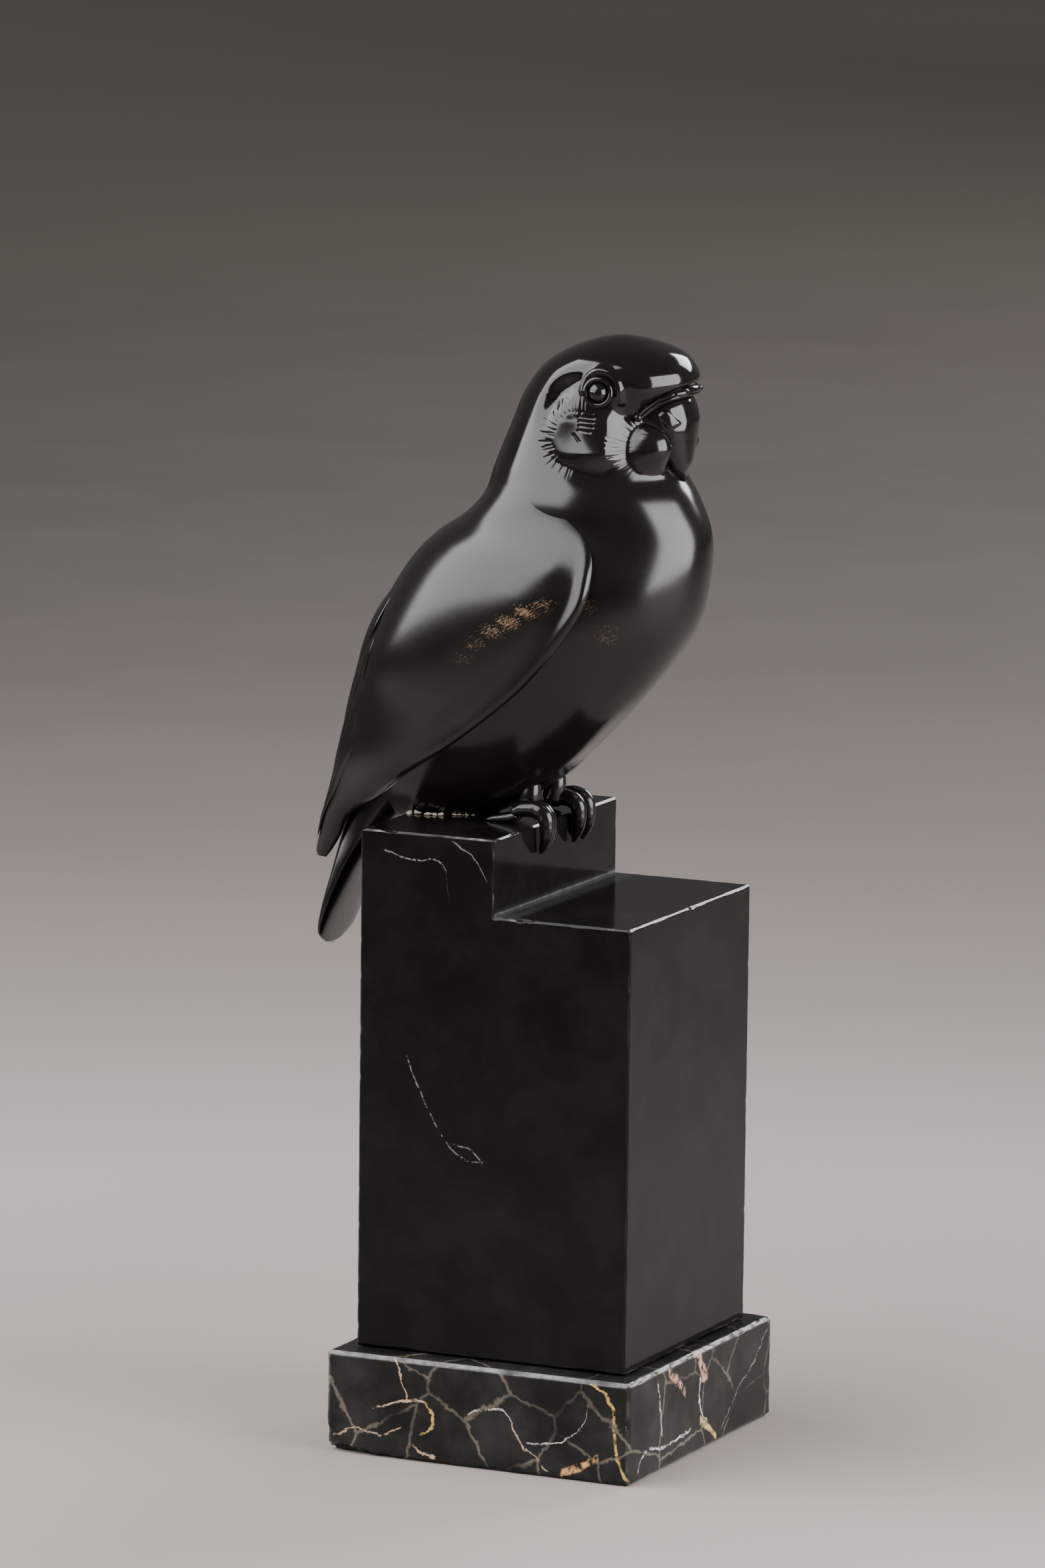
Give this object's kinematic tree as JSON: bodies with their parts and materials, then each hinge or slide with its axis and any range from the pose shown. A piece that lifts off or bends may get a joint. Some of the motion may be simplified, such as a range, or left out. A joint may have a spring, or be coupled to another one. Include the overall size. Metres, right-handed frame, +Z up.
{
  "type": "bronze parrot sculpture",
  "caption": "Perched parrot cast in black-patinated bronze, its tail hanging behind a stepped black stone block, on a veined marble slab.",
  "frame": {"origin": "centre of the marble slab's underside, where the sculpture stands", "axes": "+Z up, +X the way the parrot faces, out over the step, +Y its left side"},
  "size_m": [0.1218, 0.1024, 0.326],
  "materials": {
    "bird_bronze": "cast bronze with a black patina, glossy on the head, satin on the wings and breast, worn to brown in specks",
    "black_stone": "polished black limestone with hairline white veins",
    "veined_marble": "polished black marble with gold, pink and white veins"
  },
  "bodies": {
    "root": {"base_slab": "veined_marble", "stepped_block": "black_stone", "parrot": "bird_bronze"}
  },
  "joints": []
}
